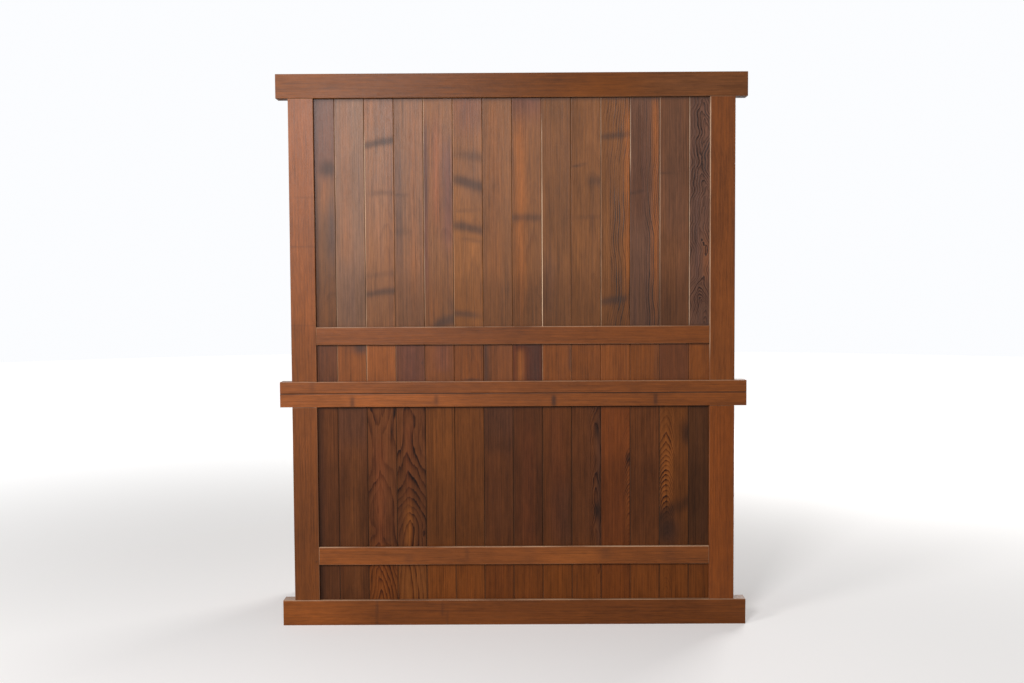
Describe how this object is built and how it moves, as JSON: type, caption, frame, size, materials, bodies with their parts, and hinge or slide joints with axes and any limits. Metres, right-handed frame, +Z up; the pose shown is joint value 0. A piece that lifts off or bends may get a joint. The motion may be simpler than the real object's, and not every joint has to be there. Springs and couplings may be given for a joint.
{
  "type": "kitchen tansu",
  "caption": "Stacked wooden kitchen cabinet: an upper case on a lower case, each with sliding doors above drawers that have swinging iron handles, and a panelled back.",
  "frame": {"origin": "on the floor, under the middle of the whole object with its handles", "axes": "+Z up, +Y towards the panelled back, -Y towards the doors and drawers, X along the width; left and right are as seen from the front, left being -X"},
  "size_m": [1.5, 0.4716, 1.7738],
  "materials": {
    "frame_wood": "warm orange-brown, oiled, worn satin",
    "board_wood": "darker brown with purple-grey tints, bare and aged",
    "door_wood": "wiped lacquer, satin",
    "drawer_wood": "wiped lacquer, satin",
    "inner_wood": "unfinished softwood, aged",
    "iron": "blackened, matt"
  },
  "bodies": {
    "lower_case": {"lower_post_front_left": "frame_wood", "lower_post_front_right": "frame_wood", "lower_post_back_left": "frame_wood", "lower_post_back_right": "frame_wood", "lower_front_base_rail": "frame_wood", "lower_front_mid_rail": "frame_wood", "lower_front_top_rail": "frame_wood", "lower_back_base_rail": "frame_wood", "lower_back_mid_rail": "frame_wood", "lower_back_top_rail": "frame_wood", "lower_side_left": "frame_wood", "lower_side_right": "frame_wood", "lower_drawer_divider": "frame_wood", "lower_back_boards": "board_wood", "lower_top_board": "board_wood", "lower_bottom_board": "inner_wood", "lower_drawer_deck": "inner_wood"},
    "upper_case": {"upper_post_front_left": "frame_wood", "upper_post_front_right": "frame_wood", "upper_post_back_left": "frame_wood", "upper_post_back_right": "frame_wood", "upper_front_base_rail": "frame_wood", "upper_front_mid_rail": "frame_wood", "upper_front_top_rail": "frame_wood", "upper_back_base_rail": "frame_wood", "upper_back_mid_rail": "frame_wood", "upper_back_top_rail": "frame_wood", "upper_side_left": "frame_wood", "upper_side_right": "frame_wood", "upper_drawer_divider": "frame_wood", "upper_back_boards": "board_wood", "upper_low_back_boards": "board_wood", "upper_top_board": "board_wood", "upper_bottom_board": "inner_wood", "upper_drawer_deck": "inner_wood", "upper_shelf": "inner_wood"},
    "upper_left_door": {"upper_left_door_lattice": "door_wood", "upper_left_door_panel": "board_wood"},
    "upper_right_door": {"upper_right_door_lattice": "door_wood", "upper_right_door_panel": "board_wood"},
    "lower_left_door": {"lower_left_door_frame": "door_wood", "lower_left_door_panel": "board_wood"},
    "lower_right_door": {"lower_right_door_frame": "door_wood", "lower_right_door_panel": "board_wood"},
    "upper_left_drawer": {"upper_left_drawer_front": "drawer_wood", "upper_left_drawer_tray": "inner_wood", "upper_left_handle_plate": "iron"},
    "upper_right_drawer": {"upper_right_drawer_front": "drawer_wood", "upper_right_drawer_tray": "inner_wood", "upper_right_handle_plate": "iron"},
    "lower_left_drawer": {"lower_left_drawer_front": "drawer_wood", "lower_left_drawer_tray": "inner_wood", "lower_left_handle_plate": "iron"},
    "lower_right_drawer": {"lower_right_drawer_front": "drawer_wood", "lower_right_drawer_tray": "inner_wood", "lower_right_handle_plate": "iron"},
    "upper_left_bail_swing": {"upper_left_bail": "iron"},
    "upper_right_bail_swing": {"upper_right_bail": "iron"},
    "lower_left_bail_swing": {"lower_left_bail": "iron"},
    "lower_right_bail_swing": {"lower_right_bail": "iron"}
  },
  "joints": [
    {"name": "upper_case_lift", "type": "slide", "parent": "lower_case", "child": "upper_case", "axis": [0, 0, 1], "range_m": [0, 0.05]},
    {"name": "upper_left_door_slide", "type": "slide", "parent": "upper_case", "child": "upper_left_door", "axis": [1, 0, 0], "range_m": [0, 0.605]},
    {"name": "upper_right_door_slide", "type": "slide", "parent": "upper_case", "child": "upper_right_door", "axis": [1, 0, 0], "range_m": [-0.605, 0]},
    {"name": "lower_left_door_slide", "type": "slide", "parent": "lower_case", "child": "lower_left_door", "axis": [1, 0, 0], "range_m": [0, 0.605]},
    {"name": "lower_right_door_slide", "type": "slide", "parent": "lower_case", "child": "lower_right_door", "axis": [1, 0, 0], "range_m": [-0.605, 0]},
    {"name": "upper_left_drawer_slide", "type": "slide", "parent": "upper_case", "child": "upper_left_drawer", "axis": [0, -1, 0], "range_m": [0, 0.32]},
    {"name": "upper_right_drawer_slide", "type": "slide", "parent": "upper_case", "child": "upper_right_drawer", "axis": [0, -1, 0], "range_m": [0, 0.32]},
    {"name": "lower_left_drawer_slide", "type": "slide", "parent": "lower_case", "child": "lower_left_drawer", "axis": [0, -1, 0], "range_m": [0, 0.32]},
    {"name": "lower_right_drawer_slide", "type": "slide", "parent": "lower_case", "child": "lower_right_drawer", "axis": [0, -1, 0], "range_m": [0, 0.32]},
    {"name": "upper_left_bail_hinge", "type": "hinge", "parent": "upper_left_drawer", "child": "upper_left_bail_swing", "pos_m": [-0.323, -0.2303, 0.8617], "axis": [-1, 0, 0], "range_deg": [-10, 160]},
    {"name": "upper_right_bail_hinge", "type": "hinge", "parent": "upper_right_drawer", "child": "upper_right_bail_swing", "pos_m": [0.323, -0.2303, 0.8617], "axis": [-1, 0, 0], "range_deg": [-10, 160]},
    {"name": "lower_left_bail_hinge", "type": "hinge", "parent": "lower_left_drawer", "child": "lower_left_bail_swing", "pos_m": [-0.323, -0.2303, 0.14915], "axis": [-1, 0, 0], "range_deg": [-10, 160]},
    {"name": "lower_right_bail_hinge", "type": "hinge", "parent": "lower_right_drawer", "child": "lower_right_bail_swing", "pos_m": [0.323, -0.2303, 0.14915], "axis": [-1, 0, 0], "range_deg": [-10, 160]}
  ]
}
